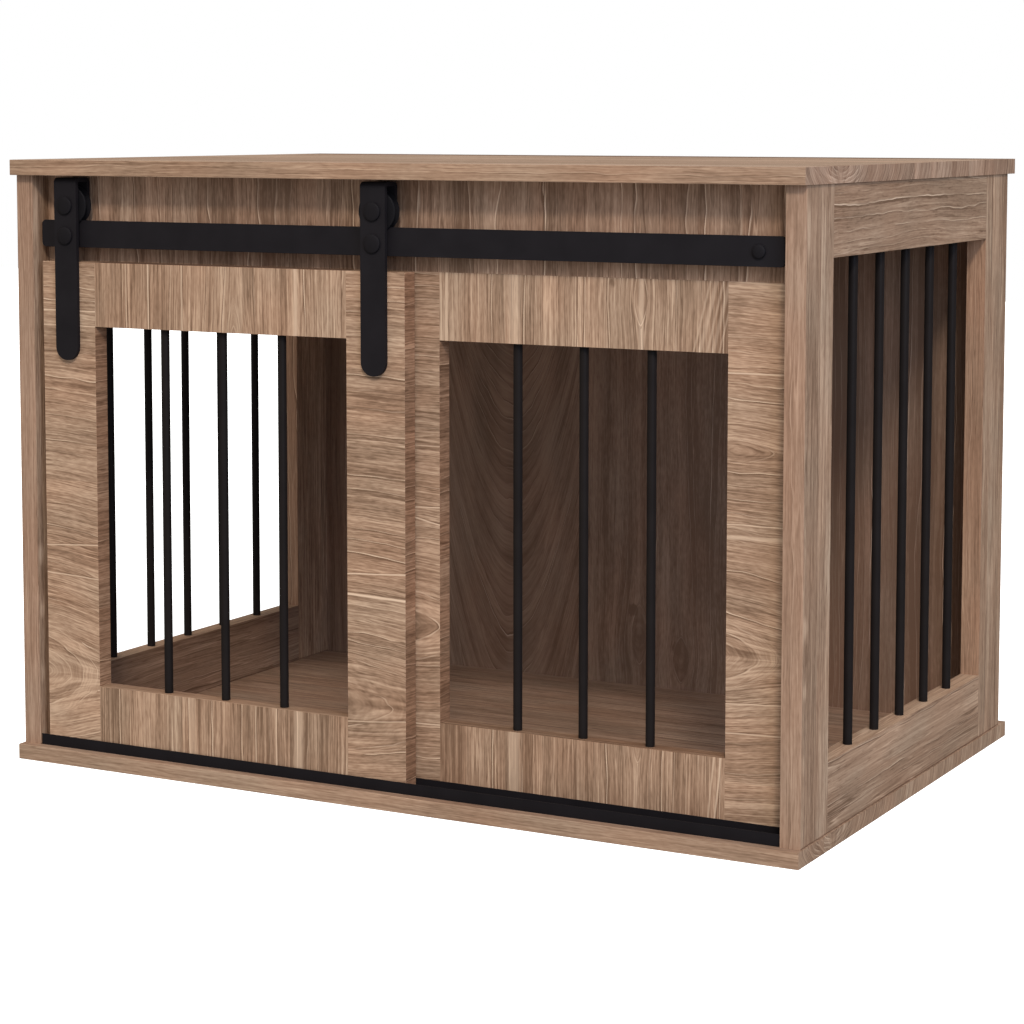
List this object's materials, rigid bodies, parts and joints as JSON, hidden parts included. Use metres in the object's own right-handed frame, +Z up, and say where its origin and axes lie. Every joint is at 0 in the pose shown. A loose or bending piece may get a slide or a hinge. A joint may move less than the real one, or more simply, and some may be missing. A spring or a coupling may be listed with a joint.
{
  "type": "pet crate",
  "caption": "Furniture-style pet crate: boarded top, base and back, barred side frames, fixed barred front frame and a barred door that rolls on a flat hanging rail.",
  "frame": {"origin": "middle of the base board's underside, on the floor", "axes": "+X to the right along the front, +Y to the back (the front faces -Y), +Z up"},
  "size_m": [1, 0.677, 0.714],
  "materials": {
    "walnut_boards": "matt wood-grain laminate",
    "walnut_side_frames": "matt wood-grain laminate",
    "walnut_back": "matt wood-grain laminate",
    "walnut_header": "matt wood-grain laminate",
    "walnut_fixed_frame": "matt wood-grain laminate",
    "walnut_door": "matt wood-grain laminate",
    "black_bars": "satin black powder coat",
    "black_hardware": "matt black powder coat",
    "black_rollers": "satin black, treads polished by use",
    "bronze_bush": "turned, oiled",
    "zinc_fixings": "zinc plated",
    "beech_dowels": "raw beech"
  },
  "bodies": {
    "crate": {"base_board": "walnut_boards", "top_board": "walnut_boards", "left_front_stile": "walnut_side_frames", "left_rear_stile": "walnut_side_frames", "left_bottom_rail": "walnut_side_frames", "left_top_rail": "walnut_side_frames", "right_front_stile": "walnut_side_frames", "right_rear_stile": "walnut_side_frames", "right_bottom_rail": "walnut_side_frames", "right_top_rail": "walnut_side_frames", "back_panel": "walnut_back", "header_board": "walnut_header", "fixed_left_stile": "walnut_fixed_frame", "fixed_right_stile": "walnut_fixed_frame", "fixed_bottom_rail": "walnut_fixed_frame", "fixed_top_rail": "walnut_fixed_frame", "left_bars": "black_bars", "right_bars": "black_bars", "fixed_bars": "black_bars", "hanging_rail": "black_hardware", "rail_spacers": "black_hardware", "rail_bolts": "black_hardware", "floor_track": "black_hardware", "track_screws": "black_hardware", "back_screws": "zinc_fixings", "base_screws": "zinc_fixings", "top_cams": "zinc_fixings", "top_cam_bolts": "zinc_fixings", "front_cams": "zinc_fixings", "front_cam_bolts": "zinc_fixings", "left_dowels": "beech_dowels", "right_dowels": "beech_dowels", "fixed_dowels": "beech_dowels", "header_dowels": "beech_dowels"},
    "door": {"door_left_stile": "walnut_door", "door_right_stile": "walnut_door", "door_bottom_rail": "walnut_door", "door_top_rail": "walnut_door", "door_bars": "black_bars", "door_dowels": "beech_dowels", "left_hanger_strap": "black_hardware", "right_hanger_strap": "black_hardware", "strap_screws": "black_hardware", "strap_bolts": "black_hardware", "axle_bolts": "black_hardware", "roller_washers": "black_hardware"},
    "left_roller": {"left_roller": "black_rollers", "left_roller_bush": "bronze_bush"},
    "right_roller": {"right_roller": "black_rollers", "right_roller_bush": "bronze_bush"}
  },
  "joints": [
    {"name": "door_slide", "type": "slide", "parent": "crate", "child": "door", "axis": [1, 0, 0], "range_m": [-0.01, 0.446]},
    {"name": "left_roller_spin", "type": "hinge", "parent": "door", "child": "left_roller", "pos_m": [-0.4272, -0.3147, 0.66105], "axis": [0, 1, 0], "range_deg": [-36, 1506]},
    {"name": "right_roller_spin", "type": "hinge", "parent": "door", "child": "right_roller", "pos_m": [-0.0092, -0.3147, 0.66105], "axis": [0, 1, 0], "range_deg": [-36, 1506]}
  ],
  "couplings": [
    {"joint": "left_roller_spin", "follows": "door_slide", "rad_per_m": 58.824},
    {"joint": "right_roller_spin", "follows": "door_slide", "rad_per_m": 58.824}
  ]
}
